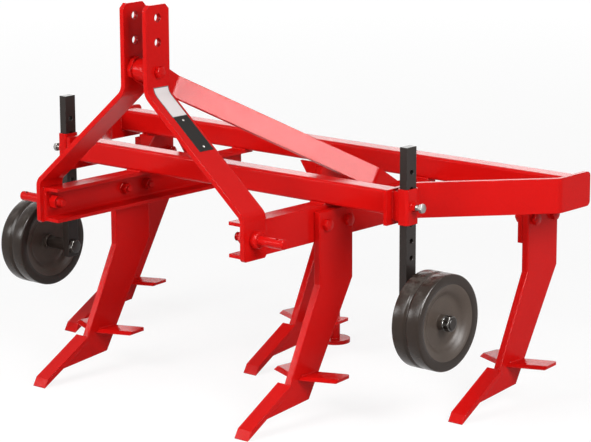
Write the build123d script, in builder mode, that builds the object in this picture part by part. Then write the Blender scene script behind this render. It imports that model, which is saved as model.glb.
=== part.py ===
from build123d import *
from math import atan2, cos, degrees, hypot, radians, sin, tan
import os

# Subsoiler with five shanks for a Category 1 three-point hitch.
# X runs across the machine, the tractor stands towards -Y, Z is up and the
# chisel points stand on Z = 0. Lengths are in millimetres.

# where the machine's own origin lies behind the tips of the front points
half_length = 391.5
clearance = 0.5          # sliding play on each side
hole_play = 0.25         # extra radius of a bolt hole
near = 1.0               # how far a corner may lie from where it is looked for

# three-point hitch
pin_z = 444.0
pin_y = 36.0
pin_r = 11.0
pin_l = 70.5
pin_chamfer = 2.0
collar_r = 20.0
collar_t = 15.5
stud_r = 10.0
nut_r = 17.0
nut_t = 20.0
stud_out = 16.0
mast_height = 460.0
link_hole_r = 9.65
link_hole_drop = 55.0

# mast
leg_w = 72.0
leg_t = 12.0
mast_gap = 58.0
leg_half_base = 326.0
mast_crown = 29.0
mast_foot = 46.0
mast_bend_over_bolt = 45.0
mast_bend_over_pin = 53.0
mast_corner = 11.0
mast_foot_corner = 4.5
bend_r = 30.0
bolt_drop = 121.0
bolt_r = 8.0
bolt_head_r = 13.8
bolt_head_t = 10.0
bolt_nut_t = 13.0
bolt_out = 6.0
spacer_r = 25.0

# stays from the mast to the channels
stay_w = 50.0
stay_t = 12.0
stay_reach = 498.3
stay_foot_in = 36.0
stay_foot_run = 54.2
stay_over = 96.8
stay_bend_a = 76.5
stay_nose = 27.0
stay_corner = 12.0
stay_bend_r = 12.0

# channels
channel_h = 80.0
channel_flange = 45.0
channel_web = 6.0
channel_flange_t = 8.0
channel_root_r = 6.0
channel_toe_r = 3.5
channel_drop = 44.0
channel_start = 13.5
channel_end = 688.0

# cross beams
beam_w = 50.0
beam_h = 55.0
beam_wall = 5.0
beam_corner_r = 7.0
front_beam_y = 286.0
rear_beam_y = 661.0

# side plates
plate_t = 10.0
plate_h = 80.0
plate_drop = 20.0
plate_front_y = 270.0
plate_bend_a_y = 378.0
plate_bend_b_y = 622.0
plate_end_y = 739.0
plate_front_x = 504.0
plate_rear_x = 720.0
plate_bend_r = 25.0
plate_tip_r = 12.0

# depth wheels, their posts and sleeves
post_t = 20.0
post_w = 33.0
post_mid_y = 304.5
post_in_x = 525.5
post_over = 133.0
post_foot = 26.0
post_hole_r = 6.0
post_hole_pitch = 38.5
sleeve_wall = 4.0
sleeve_corner_r = 7.0
sleeve_lift = 3.0
sleeve_h = 80.0
block_w = 28.0
block_h = 66.0
clamp_lift = 43.0
clamp_r = 6.0
clamp_nut_r = 11.0
clamp_nut_t = 10.0
clamp_out = 11.0
clamp_head_r = 11.0
clamp_head_t = 8.0
wheel_z = 257.0
wheel_r = 109.0
wheel_w = 74.0
wheel_rim = 21.0
wheel_cone = 21.0
wheel_cone_d = 9.0
wheel_step = 5.0
wheel_disc_d = 20.0
wheel_hub_r = 18.0
wheel_hub_d = 8.0
wheel_bore_r = 12.5
wheel_groove_w = 12.0
wheel_groove_d = 4.0
wheel_edge_r = 4.0
axle_r = 12.4
axle_collar_r = 15.0
axle_play = 1.0
axle_washer_r = 18.0
axle_washer_t = 3.0
axle_nut_r = 18.0
axle_nut_t = 14.0
axle_out = 2.0
axle_head_r = 17.0
axle_head_t = 9.0

# shanks, points and wings; y behind the tip of their own point
front_tip_y = -12.0
shank_row = 403.0
shank_t = 18.0
shank_drop = 10.0
shank_front_y = 257.0
shank_back_y = 371.0
shank_bend_z = 303.0
shank_edge_r = 2.5
heel_y = 218.0
heel_z = 46.0
toe_y = 51.0
shank_rake = 0.487
shank_bolt_dy = 24.0
shank_bolt_pitch = 74.0
shank_bolt_r = 8.0
front_bolt_drop = 41.0
rear_bolt_drop = 55.5
rear_side_x = 622.0
rear_shift = 16.0
point_w = 40.0
point_t = 12.0
point_angle = 29.6
point_bevel = 20.6
wing_t = 7.0
front_wing_z = 98.0
rear_wing_z = 94.0
wing_root_front = 180.0
wing_root_back = 246.0
wing_tip_front = 214.0
wing_tip_back = 277.0
wing_half = 92.0
wing_taper = 8.0
wing_bevel_w = 11.0
wing_bevel_h = 6.0
wing_corner_r = 8.0

# brackets of the rear shanks
bracket_t = 12.0
bracket_drop = 111.0
gusset_w = 38.0
gusset_h = 55.0
gusset_t = 8.0

# parking stand
stand_r = 12.5
stand_back_y = 757.0
stand_foot_r = 38.0
stand_foot_t = 10.0
stand_top_z = 515.0
stand_wall = 5.0
stand_sleeve_h = 90.0
stand_sleeve_drop = 95.0

# worked out from the sizes above
channel_z = pin_z - channel_drop
channel_top = channel_z + channel_h
web_out_x = leg_half_base - leg_t
pin_shoulder_x = leg_half_base + collar_t
mast_half = mast_gap / 2 + leg_t
bolt_z = pin_z + mast_height - bolt_drop
stay_rise = bolt_z - channel_top
stay_angle = degrees(atan2(stay_rise, stay_reach))
stay_run = hypot(stay_rise, stay_reach)
stay_foot_x = leg_half_base - stay_foot_in
plate_z = channel_top - plate_drop
clamp_z = plate_z + clamp_lift
front_beam_half = plate_front_x - plate_t
rear_beam_half = plate_rear_x - plate_t
post_out_x = post_in_x + post_t
sleeve_in_x = post_in_x - clearance - sleeve_wall
sleeve_out_x = post_out_x + clearance + sleeve_wall
wheel_rim_r = wheel_r - wheel_rim
wheel_cone_r = wheel_rim_r - wheel_cone
wheel_disc_r = wheel_cone_r - wheel_step
front_shank_x = web_out_x + shank_t / 2
shank_top_z = channel_top - shank_drop
point_rise = tan(radians(point_angle))
point_along = cos(radians(point_angle))
point_up = sin(radians(point_angle))
toe_z = toe_y * point_rise
neck_y = (shank_front_y - shank_bend_z * shank_rake) / (1 - point_rise * shank_rake)
neck_z = neck_y * point_rise
point_l = neck_y / point_along

# like pieces: name, centre x, y of the tip, side of the bracket, bolts below the frame's
# top, height of the wings
rear_tip_y = front_tip_y + shank_row
SHANKS = [
    ("front_left", -front_shank_x, front_tip_y, 0, front_bolt_drop, front_wing_z),
    ("front_right", front_shank_x, front_tip_y, 0, front_bolt_drop, front_wing_z),
    ("rear_left", -rear_side_x - rear_shift, rear_tip_y, 1, rear_bolt_drop, rear_wing_z),
    ("rear_middle", -rear_shift, rear_tip_y, -1, rear_bolt_drop, rear_wing_z),
    ("rear_right", rear_side_x - rear_shift, rear_tip_y, -1, rear_bolt_drop, rear_wing_z),
]
# both sides: name, sign of x, inner face of the wheel
SIDES = [
    ("left", -1, 600.0),
    ("right", 1, 577.0),
]


def at_y(y):
    # station behind the mast's front face -> model Y
    return y - half_length


def hexagon_bar(x0, x1, y, z, r):
    with BuildPart() as bar:
        with BuildSketch(Plane.YZ.offset(x0)):
            with Locations((y, z)):
                RegularPolygon(radius=r, side_count=6, major_radius=True, rotation=90)
        extrude(amount=x1 - x0)
    return bar.part


def save(solid, name):
    solid.label = name
    export_step(solid, f"parts/{name}.step")


os.makedirs("parts", exist_ok=True)

# channels, webs outwards
for side, s, _ in SIDES:
    with BuildPart() as channel:
        with BuildSketch(Plane.XZ.offset(-at_y(channel_start))) as cut:
            with BuildLine():
                Polyline(
                    (s * web_out_x, channel_z),
                    (s * web_out_x, channel_top),
                    (s * (web_out_x - channel_flange), channel_top),
                    (s * (web_out_x - channel_flange), channel_top - channel_flange_t),
                    (s * (web_out_x - channel_web), channel_top - channel_flange_t),
                    (s * (web_out_x - channel_web), channel_z + channel_flange_t),
                    (s * (web_out_x - channel_flange), channel_z + channel_flange_t),
                    (s * (web_out_x - channel_flange), channel_z),
                    close=True,
                )
            make_face()
            roots = cut.vertices().filter_by(
                lambda v: abs(abs(v.X) - web_out_x + channel_web) < near)
            fillet(roots, channel_root_r)
            toes = cut.vertices().filter_by(
                lambda v: abs(abs(v.X) - web_out_x + channel_flange) < near
                and channel_z + near < v.Z < channel_top - near)
            fillet(toes, channel_toe_r)
        extrude(amount=-(channel_end - channel_start))
        with BuildSketch(Plane.YZ):
            with Locations((at_y(pin_y), pin_z)):
                Circle(stud_r + hole_play)
        extrude(amount=s * leg_half_base, mode=Mode.SUBTRACT)
        with BuildSketch(Plane.YZ):
            for k in range(2):
                with Locations((at_y(front_tip_y + shank_front_y + shank_bolt_dy
                                     + k * shank_bolt_pitch), channel_top - front_bolt_drop)):
                    Circle(shank_bolt_r + hole_play)
        extrude(amount=s * leg_half_base, mode=Mode.SUBTRACT)
    save(channel.part, f"channel_{side}")

# cross beams of rectangular tube
for name, y0, half in (("front_beam", front_beam_y, front_beam_half),
                       ("rear_beam", rear_beam_y, rear_beam_half)):
    with BuildPart() as beam:
        with BuildSketch(Plane.YZ.offset(-half)):
            with Locations((at_y(y0 + beam_w / 2), channel_top + beam_h / 2)):
                RectangleRounded(beam_w, beam_h, beam_corner_r)
                RectangleRounded(beam_w - 2 * beam_wall, beam_h - 2 * beam_wall,
                                 beam_corner_r - beam_wall, mode=Mode.SUBTRACT)
        extrude(amount=2 * half)
    save(beam.part, name)

# side plates, bent twice
for side, s, _ in SIDES:
    with BuildPart() as plate:
        with BuildSketch(Plane.XY.offset(plate_z)):
            with BuildLine():
                FilletPolyline(
                    (s * plate_front_x, at_y(plate_front_y)),
                    (s * plate_front_x, at_y(plate_bend_a_y)),
                    (s * plate_rear_x, at_y(plate_bend_b_y)),
                    (s * plate_rear_x, at_y(plate_end_y)),
                    radius=plate_bend_r,
                )
                offset(amount=plate_t, side=Side.LEFT if s > 0 else Side.RIGHT)
            make_face()
        extrude(amount=plate_h)
        tips = plate.edges().filter_by(Axis.X).group_by(Axis.Y)[-1]
        fillet(tips, plate_tip_r)
    save(plate.part, f"side_plate_{side}")

# mast legs
for side, s, _ in SIDES:
    with BuildPart() as leg:
        with BuildSketch(Plane.XZ.offset(-at_y(0))):
            with BuildLine():
                FilletPolyline(
                    (s * mast_half, pin_z + mast_height + mast_crown),
                    (s * mast_half, bolt_z - mast_bend_over_bolt),
                    (s * leg_half_base, pin_z + mast_bend_over_pin),
                    (s * leg_half_base, pin_z - mast_foot),
                    radius=bend_r,
                )
                offset(amount=leg_t, side=Side.RIGHT if s > 0 else Side.LEFT)
            make_face()
        extrude(amount=-leg_w)
        ends = leg.edges().filter_by(Axis.X).group_by(Axis.Z)
        chamfer(ends[-1], mast_corner)
        chamfer(ends[0], mast_foot_corner)
        with BuildSketch(Plane.YZ):
            with Locations((at_y(pin_y), pin_z + mast_height),
                           (at_y(pin_y), pin_z + mast_height - link_hole_drop)):
                Circle(link_hole_r)
            with Locations((at_y(pin_y), bolt_z)):
                Circle(bolt_r + hole_play)
        extrude(amount=s * (mast_half + leg_t), mode=Mode.SUBTRACT)
        with BuildSketch(Plane.YZ):
            with Locations((at_y(pin_y), pin_z)):
                Circle(stud_r + hole_play)
        extrude(amount=s * (leg_half_base + leg_t), mode=Mode.SUBTRACT)
    save(leg.part, f"mast_leg_{side}")

# spacer tube and bolt through the mast
spacer_half = mast_gap / 2 - stay_t
with BuildPart() as spacer:
    with BuildSketch(Plane.YZ.offset(-spacer_half)):
        with Locations((at_y(pin_y), bolt_z)):
            Circle(spacer_r)
            Circle(bolt_r + hole_play, mode=Mode.SUBTRACT)
    extrude(amount=2 * spacer_half)
save(spacer.part, "mast_spacer")

with BuildPart() as bolt:
    with BuildSketch(Plane.YZ.offset(-(mast_half + bolt_nut_t + bolt_out))):
        with Locations((at_y(pin_y), bolt_z)):
            Circle(bolt_r)
    extrude(amount=2 * mast_half + bolt_nut_t + bolt_out + bolt_head_t)
    add(hexagon_bar(mast_half, mast_half + bolt_head_t, at_y(pin_y), bolt_z, bolt_head_r))
    add(hexagon_bar(-mast_half - bolt_nut_t, -mast_half, at_y(pin_y), bolt_z, bolt_head_r))
save(bolt.part, "mast_bolt")

# stays: bent in the plane that slopes back from the mast bolt
slope = Plane(origin=(0, at_y(pin_y), bolt_z), x_dir=(1, 0, 0), z_dir=(0, 0, 1)).rotated(
    (-stay_angle, 0, 0))
for side, s, _ in SIDES:
    with BuildPart() as stay:
        with BuildSketch(slope):
            with BuildLine():
                FilletPolyline(
                    (s * mast_gap / 2, -stay_nose),
                    (s * mast_gap / 2, stay_bend_a),
                    (s * (stay_foot_x + stay_t / 2), stay_run - stay_foot_run),
                    (s * (stay_foot_x + stay_t / 2), stay_run + stay_over),
                    radius=stay_bend_r + stay_t,
                )
                offset(amount=stay_t, side=Side.LEFT if s > 0 else Side.RIGHT)
            make_face()
        extrude(amount=stay_w / 2, both=True)
        nose = stay.edges().filter_by(Axis.X).group_by(Axis.Y)[0] + \
            stay.edges().filter_by(Axis.X).group_by(Axis.Z)[-1]
        chamfer(nose, stay_corner)
        split(bisect_by=Plane.XY.offset(channel_top), keep=Keep.TOP)
        with BuildSketch(Plane.YZ):
            with Locations((at_y(pin_y), bolt_z)):
                Circle(bolt_r + hole_play)
        extrude(amount=s * mast_gap, mode=Mode.SUBTRACT)
    save(stay.part, f"stay_{side}")

# lower hitch pins
nut_x = web_out_x - channel_web
for side, s, _ in SIDES:
    with BuildPart() as pin:
        with BuildSketch(Plane.YZ.offset(s * leg_half_base)):
            with Locations((at_y(pin_y), pin_z)):
                Circle(collar_r)
        extrude(amount=s * collar_t)
        with BuildSketch(Plane.YZ.offset(s * pin_shoulder_x)):
            with Locations((at_y(pin_y), pin_z)):
                Circle(pin_r)
        extrude(amount=s * pin_l)
        ends = pin.edges().filter_by(GeomType.CIRCLE).group_by(
            lambda e: round(abs(e.center().X), 1))[-1]
        chamfer(ends, pin_chamfer)
        with BuildSketch(Plane.YZ.offset(s * leg_half_base)):
            with Locations((at_y(pin_y), pin_z)):
                Circle(stud_r)
        extrude(amount=-s * (leg_t + channel_web + nut_t + stud_out))
        add(hexagon_bar(s * nut_x, s * (nut_x - nut_t), at_y(pin_y), pin_z, nut_r))
    save(pin.part, f"hitch_pin_{side}")

# sleeves with the block that joins them to the side plates, and their clamp bolts
for side, s, _ in SIDES:
    with BuildPart() as sleeve:
        with BuildSketch(Plane.XY.offset(plate_z + sleeve_lift)):
            with Locations((s * (sleeve_in_x + sleeve_out_x) / 2, at_y(post_mid_y))):
                RectangleRounded(sleeve_out_x - sleeve_in_x,
                                 post_w + 2 * clearance + 2 * sleeve_wall, sleeve_corner_r)
                Rectangle(post_t + 2 * clearance, post_w + 2 * clearance, mode=Mode.SUBTRACT)
        extrude(amount=sleeve_h)
        with Locations((s * (plate_front_x + sleeve_in_x) / 2, at_y(post_mid_y),
                        plate_z + sleeve_lift + sleeve_h / 2)):
            Box(sleeve_in_x - plate_front_x, block_w, block_h)
        add(hexagon_bar(s * sleeve_out_x, s * (sleeve_out_x + clamp_nut_t),
                        at_y(post_mid_y), clamp_z, clamp_nut_r))
        with BuildSketch(Plane.YZ.offset(s * post_out_x)):
            with Locations((at_y(post_mid_y), clamp_z)):
                Circle(clamp_r + hole_play)
        extrude(amount=s * (sleeve_wall + clamp_nut_t + post_t), mode=Mode.SUBTRACT)
    save(sleeve.part, f"sleeve_{side}")

    with BuildPart() as screw:
        start = post_out_x + clearance
        neck = sleeve_out_x + clamp_nut_t + clamp_out
        with BuildSketch(Plane.YZ.offset(s * start)):
            with Locations((at_y(post_mid_y), clamp_z)):
                Circle(clamp_r)
        extrude(amount=s * (neck - start))
        add(hexagon_bar(s * neck, s * (neck + clamp_head_t), at_y(post_mid_y), clamp_z,
                        clamp_head_r))
    save(screw.part, f"clamp_bolt_{side}")

# posts with the axle: head, collar, journal, washer and nut
for side, s, wheel_in_x in SIDES:
    hub_in_x = wheel_in_x + wheel_hub_d
    hub_out_x = wheel_in_x + wheel_w - wheel_hub_d
    washer_x = hub_out_x + axle_play
    nut_in_x = washer_x + axle_washer_t
    with BuildPart() as post:
        low = wheel_z - post_foot
        with BuildSketch(Plane.XY.offset(low)):
            with Locations((s * (post_in_x + post_t / 2), at_y(post_mid_y))):
                Rectangle(post_t, post_w)
        extrude(amount=clamp_z + post_over - low)
        with BuildSketch(Plane.YZ.offset(s * post_in_x)):
            for k in range(-3, 3):
                with Locations((at_y(post_mid_y), clamp_z + k * post_hole_pitch)):
                    Circle(post_hole_r)
        extrude(amount=s * post_t, mode=Mode.SUBTRACT)
        for x0, x1, r in ((post_out_x, hub_in_x - axle_play, axle_collar_r),
                          (post_out_x, nut_in_x + axle_nut_t + axle_out, axle_r),
                          (washer_x, nut_in_x, axle_washer_r)):
            with BuildSketch(Plane.YZ.offset(s * x0)):
                with Locations((at_y(post_mid_y), wheel_z)):
                    Circle(r)
            extrude(amount=s * (x1 - x0))
        add(hexagon_bar(s * nut_in_x, s * (nut_in_x + axle_nut_t), at_y(post_mid_y), wheel_z,
                        axle_nut_r))
        add(hexagon_bar(s * post_in_x, s * (post_in_x - axle_head_t), at_y(post_mid_y), wheel_z,
                        axle_head_r))
    save(post.part, f"wheel_post_{side}")

# wheels: one turned section, the same on both faces
half_w = wheel_w / 2
face = [
    (wheel_groove_w / 2, wheel_r), (half_w, wheel_r), (half_w, wheel_rim_r),
    (half_w - wheel_cone_d, wheel_cone_r), (half_w - wheel_disc_d, wheel_disc_r),
    (half_w - wheel_disc_d, wheel_hub_r), (half_w - wheel_hub_d, wheel_hub_r),
    (half_w - wheel_hub_d, wheel_bore_r),
]
with BuildPart() as wheel:
    with BuildSketch(Plane.XY) as profile:
        with BuildLine():
            Polyline(*[(0, wheel_r - wheel_groove_d)], *face, *[(-x, r) for x, r in reversed(face)],
                     close=True)
        make_face()
        treads = profile.vertices().filter_by(
            lambda v: v.Y > wheel_r - near and abs(v.X) > half_w - near)
        fillet(treads, wheel_edge_r)
    revolve(axis=Axis.X)
for side, s, wheel_in_x in SIDES:
    save(Pos(s * (wheel_in_x + half_w), at_y(post_mid_y), wheel_z) * wheel.part, f"wheel_{side}")

# brackets under the rear beam
for name, x, tip_y, b, drop, _ in SHANKS:
    if b == 0:
        continue
    face_x = x + b * shank_t / 2
    y0 = tip_y + shank_front_y
    with BuildPart() as bracket:
        with Locations((face_x + b * bracket_t / 2,
                        at_y(y0 + (shank_back_y - shank_front_y) / 2),
                        channel_top - bracket_drop / 2)):
            Box(bracket_t, shank_back_y - shank_front_y, bracket_drop)
        with BuildSketch(Plane.XZ.offset(-at_y(y0))):
            with BuildLine():
                Polyline(
                    (face_x + b * bracket_t, channel_top),
                    (face_x + b * (bracket_t + gusset_w), channel_top),
                    (face_x + b * bracket_t, channel_top - gusset_h),
                    close=True,
                )
            make_face()
        extrude(amount=-gusset_t)
        with BuildSketch(Plane.YZ.offset(face_x)):
            for k in range(2):
                with Locations((at_y(y0 + shank_bolt_dy + k * shank_bolt_pitch),
                                channel_top - drop)):
                    Circle(shank_bolt_r + hole_play)
        extrude(amount=b * (bracket_t + gusset_w), mode=Mode.SUBTRACT)
    save(bracket.part, f"bracket_{name}")

# shanks with rounded front edges, chisel points and wings
for name, x, tip_y, b, drop, wing_z in SHANKS:
    with BuildPart() as shank:
        with BuildSketch(Plane.YZ.offset(x - shank_t / 2)):
            with BuildLine():
                Polyline(
                    (at_y(tip_y + shank_front_y), shank_top_z),
                    (at_y(tip_y + shank_front_y), shank_bend_z),
                    (at_y(tip_y + neck_y), neck_z),
                    (at_y(tip_y + toe_y), toe_z),
                    (at_y(tip_y + heel_y), heel_z),
                    (at_y(tip_y + shank_back_y), shank_bend_z),
                    (at_y(tip_y + shank_back_y), shank_top_z),
                    close=True,
                )
            make_face()
        extrude(amount=shank_t)
        fronts = shank.faces().filter_by(lambda f: f.normal_at().Y < -point_along)
        fillet(fronts.edges().filter_by(Axis.X, reverse=True), shank_edge_r)
        with BuildSketch(Plane.YZ.offset(x - shank_t / 2)):
            for k in range(2):
                with Locations((at_y(tip_y + shank_front_y + shank_bolt_dy + k * shank_bolt_pitch),
                                channel_top - drop)):
                    Circle(shank_bolt_r + hole_play)
        extrude(amount=shank_t, mode=Mode.SUBTRACT)
    save(shank.part, f"shank_{name}")

    with BuildPart() as point:
        with BuildSketch(Plane.YZ.offset(x - point_w / 2)):
            with BuildLine():
                Polyline(
                    (at_y(tip_y), 0),
                    (at_y(tip_y + point_bevel * point_along - point_t * point_up),
                     point_bevel * point_up + point_t * point_along),
                    (at_y(tip_y + point_l * point_along - point_t * point_up),
                     point_l * point_up + point_t * point_along),
                    (at_y(tip_y + point_l * point_along), point_l * point_up),
                    close=True,
                )
            make_face()
        extrude(amount=point_w)
    save(point.part, f"point_{name}")

    for side, s, _ in SIDES:
        with BuildPart() as wing:
            with BuildSketch(Plane.XY.offset(wing_z)):
                with BuildLine():
                    Polyline(
                        (x + s * shank_t / 2, at_y(tip_y + wing_root_front)),
                        (x + s * wing_half, at_y(tip_y + wing_tip_front)),
                        (x + s * (wing_half - wing_taper), at_y(tip_y + wing_tip_back)),
                        (x + s * shank_t / 2, at_y(tip_y + wing_root_back)),
                        close=True,
                    )
                make_face()
            extrude(amount=wing_t)
            corner = wing.edges().filter_by(Axis.Z).sort_by(Axis.Y)[-1]
            fillet(corner, wing_corner_r)
            top = wing.faces().sort_by(Axis.Z)[-1]
            chamfer(top.edges().sort_by(Axis.Y)[0], length=wing_bevel_w, length2=wing_bevel_h,
                    reference=top)
        save(wing.part, f"wing_{name}_{side}")

# parking stand beside the bracket of the middle shank
middle = SHANKS[3]
stand_x = middle[1] - shank_t / 2 - bracket_t - stand_r - clearance - stand_wall
with BuildPart() as holder:
    with BuildSketch(Plane.XY.offset(channel_top - stand_sleeve_drop)):
        with Locations((stand_x, at_y(stand_back_y))):
            Circle(stand_r + clearance + stand_wall)
            Circle(stand_r + clearance, mode=Mode.SUBTRACT)
    extrude(amount=stand_sleeve_h)
save(holder.part, "stand_sleeve")

with BuildPart() as stand:
    for r, height in ((stand_foot_r, stand_foot_t), (stand_r, stand_top_z)):
        with BuildSketch(Plane.XY):
            with Locations((stand_x, at_y(stand_back_y))):
                Circle(r)
        extrude(amount=height)
save(stand.part, "stand_leg")
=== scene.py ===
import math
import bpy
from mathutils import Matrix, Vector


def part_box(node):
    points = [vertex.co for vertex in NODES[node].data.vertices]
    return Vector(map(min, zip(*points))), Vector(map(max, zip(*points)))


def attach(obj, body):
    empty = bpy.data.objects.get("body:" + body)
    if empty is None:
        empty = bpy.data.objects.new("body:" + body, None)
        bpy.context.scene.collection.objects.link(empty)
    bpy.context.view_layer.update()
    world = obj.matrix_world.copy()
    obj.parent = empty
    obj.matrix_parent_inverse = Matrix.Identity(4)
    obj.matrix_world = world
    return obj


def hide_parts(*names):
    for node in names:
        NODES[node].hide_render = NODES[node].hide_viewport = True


bl_info = {
    "name": "Subsoiler Looks",
    "version": (1, 0, 0),
    "blender": (4, 5, 0),
    "location": "3D Viewport > Sidebar > Subsoiler",
    "description": "Dresses the packed subsoiler: paint, fasteners, welds, wheels, plates, studio",
    "category": "Object",
}

import bmesh
import bpy
from mathutils import Matrix, Vector

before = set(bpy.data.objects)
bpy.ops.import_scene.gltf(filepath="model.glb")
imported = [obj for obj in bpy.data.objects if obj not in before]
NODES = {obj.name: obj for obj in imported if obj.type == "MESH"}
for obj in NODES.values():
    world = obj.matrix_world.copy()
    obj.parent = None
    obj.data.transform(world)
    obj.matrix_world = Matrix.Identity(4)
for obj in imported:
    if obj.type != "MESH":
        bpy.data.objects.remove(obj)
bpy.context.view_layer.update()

# the right side is +X, and the front of the machine is towards -Y
LEFT_RIGHT = (("left", -1), ("right", 1))
SHANKS = ("front_left", "front_right", "rear_left", "rear_middle", "rear_right")
SAME_POINT = 1e-6


# Shader groups and materials

NODE_SPACING = 180
DRIFT_SCALE, GRAIN_SCALE, DUST_SCALE, WEAR_SCALE = 6.0, 380.0, 35.0, 90.0
DUST_COLOUR = (0.6, 0.55, 0.5, 1)
DUST_DULLS = 0.1
WORN_ROUGHNESS = 0.35
PEEL_HEIGHT = 0.0005
WORN_BLACK = (0.32, 0.3, 0.28)


def new_group(name, inputs, outputs):
    """An empty shader group with its sockets: (name, type, default) in, (name, type) out."""
    group = bpy.data.node_groups.new(name, "ShaderNodeTree")
    for label, kind, value in inputs:
        socket = group.interface.new_socket(label, in_out="INPUT", socket_type=kind)
        socket.default_value = value
    for label, kind in outputs:
        group.interface.new_socket(label, in_out="OUTPUT", socket_type=kind)
    return group


class Graph:
    """Adds nodes to a tree and links them by the name or number of a socket."""

    def __init__(self, tree):
        self.tree = tree
        self.column = 0

    def add(self, kind, inputs=None, **settings):
        node = self.tree.nodes.new(kind)
        self.column += 1
        node.location = (self.column * NODE_SPACING, 0)
        for key, value in settings.items():
            setattr(node, key, value)
        for key, value in (inputs or {}).items():
            if isinstance(value, bpy.types.NodeSocket):
                self.tree.links.new(value, node.inputs[key])
            else:
                node.inputs[key].default_value = value
        return node

    def math(self, operation, a, b=0.0, c=0.0, clamp=False):
        return self.add("ShaderNodeMath", {0: a, 1: b, 2: c}, operation=operation,
                        use_clamp=clamp).outputs[0]

    def mix_colours(self, factor, a, b):
        # sockets 6 and 7 are the two colours, and output 2 is the mixed one
        return self.add("ShaderNodeMix", {0: factor, 6: a, 7: b}, data_type="RGBA").outputs[2]

    def mix_values(self, factor, a, b):
        return self.add("ShaderNodeMix", {0: factor, 2: a, 3: b}).outputs[0]

    def ramp(self, value, low, high):
        return self.add("ShaderNodeMapRange",
                        {"Value": value, "From Min": low, "From Max": high}).outputs[0]

    def place(self):
        return self.add("ShaderNodeTexCoord").outputs["Object"]

    def noise(self, place, scale, detail=2.0, rough=0.5):
        return self.add("ShaderNodeTexNoise", {
            "Vector": place, "Scale": scale, "Detail": detail, "Roughness": rough}).outputs["Fac"]

    def seen_directly(self):
        """1 for what the camera, glossy faces and clear faces see, 0 for light on the object."""
        path = self.add("ShaderNodeLightPath").outputs
        either = self.math("MAXIMUM", path["Is Camera Ray"], path["Is Glossy Ray"])
        return self.math("MAXIMUM", either, path["Is Transmission Ray"])


def group_skin():
    """Sprayed paint: slow drift of tone, grain, orange peel and dust on the faces turned up."""
    group = new_group("Sprayed Skin", (
        ("Colour", "NodeSocketColor", (0.5, 0.5, 0.5, 1)),
        ("Drift", "NodeSocketFloat", 0.1),
        ("Grain", "NodeSocketFloat", 0.1),
        ("Dust", "NodeSocketFloat", 0.1),
        ("Peel Scale", "NodeSocketFloat", 400.0),
    ), (("Colour", "NodeSocketColor"), ("Height", "NodeSocketFloat"), ("Mask", "NodeSocketFloat")))
    g = Graph(group)
    given = g.add("NodeGroupInput").outputs
    place = g.place()
    drift = g.math("SUBTRACT", g.noise(place, DRIFT_SCALE, 3.0), 0.5)
    grain = g.math("SUBTRACT", g.noise(place, GRAIN_SCALE, 3.0, 0.7), 0.5)
    shade = g.math("MULTIPLY_ADD", drift, given["Drift"], 1.0)
    shade = g.math("MULTIPLY_ADD", grain, given["Grain"], shade)
    tone = g.add("ShaderNodeVectorMath", {0: given["Colour"], "Scale": shade}, operation="SCALE")
    normal = g.add("ShaderNodeNewGeometry").outputs["Normal"]
    upward = g.ramp(g.add("ShaderNodeSeparateXYZ", {0: normal}).outputs["Z"], 0.5, 1.0)
    specks = g.ramp(g.noise(place, DUST_SCALE, 5.0, 0.65), 0.45, 0.75)
    mask = g.math("MULTIPLY", g.math("MULTIPLY", upward, specks), given["Dust"], clamp=True)
    g.add("NodeGroupOutput", {
        "Colour": g.mix_colours(mask, tone.outputs[0], DUST_COLOUR),
        "Height": g.noise(place, given["Peel Scale"], 1.0), "Mask": mask})


def group_edges():
    """Rounded edges for light to catch, and a mask of rubbed corners."""
    group = new_group("Worked Edges", (
        ("Radius", "NodeSocketFloat", 0.0015),
        ("Wear", "NodeSocketFloat", 0.3),
    ), (("Normal", "NodeSocketVector"), ("Mask", "NodeSocketFloat")))
    g = Graph(group)
    given = g.add("NodeGroupInput").outputs
    rounded = g.add("ShaderNodeBevel", {"Radius": given["Radius"]}, samples=6).outputs[0]
    plain = g.add("ShaderNodeNewGeometry").outputs["Normal"]
    cosine = g.add("ShaderNodeVectorMath", {0: rounded, 1: plain}, operation="DOT_PRODUCT")
    edge = g.ramp(cosine.outputs["Value"], 0.99, 0.8)
    broken = g.ramp(g.noise(g.place(), WEAR_SCALE, 4.0, 0.7), 0.45, 0.62)
    mask = g.math("MULTIPLY", g.math("MULTIPLY", edge, broken), given["Wear"], clamp=True)
    g.add("NodeGroupOutput", {"Normal": rounded, "Mask": mask})


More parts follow.
